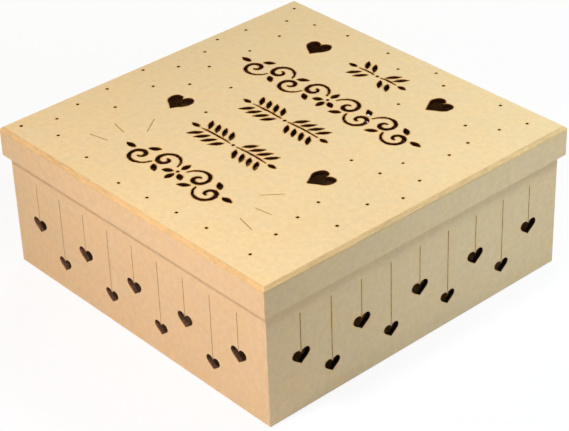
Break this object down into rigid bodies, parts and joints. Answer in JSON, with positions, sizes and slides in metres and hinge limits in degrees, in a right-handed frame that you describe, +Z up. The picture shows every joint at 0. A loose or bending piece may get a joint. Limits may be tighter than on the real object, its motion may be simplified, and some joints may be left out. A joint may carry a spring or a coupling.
{
  "type": "keepsake box",
  "caption": "Square, shallow keepsake box of thin fibreboard with a lift-off lid that laps the walls; hearts hang on cut lines in the walls, and hearts, scrolls, leaves and dots pierce the lid.",
  "frame": {"origin": "centre of the box's underside, on the surface that it stands on", "axes": "+Z up through the lid, -Y out of the front wall, +X out of the right wall; the lid's ornament is laid out to be seen from -Y"},
  "size_m": [0.25, 0.25, 0.1],
  "materials": {
    "lid_board": "bare sanded fibreboard, matt",
    "wall_board": "bare sanded fibreboard, matt",
    "base_board": "bare fibreboard, matt"
  },
  "bodies": {
    "box": {"base_panel": "base_board", "front_wall": "wall_board", "right_wall": "wall_board", "back_wall": "wall_board", "left_wall": "wall_board"},
    "lid": {"lid_panel": "lid_board", "lid_front_rim": "wall_board", "lid_right_rim": "wall_board", "lid_back_rim": "wall_board", "lid_left_rim": "wall_board"}
  },
  "joints": [
    {"name": "lid_lift", "type": "slide", "parent": "box", "child": "lid", "axis": [0, 0, 1], "range_m": [0, 0.1]}
  ]
}
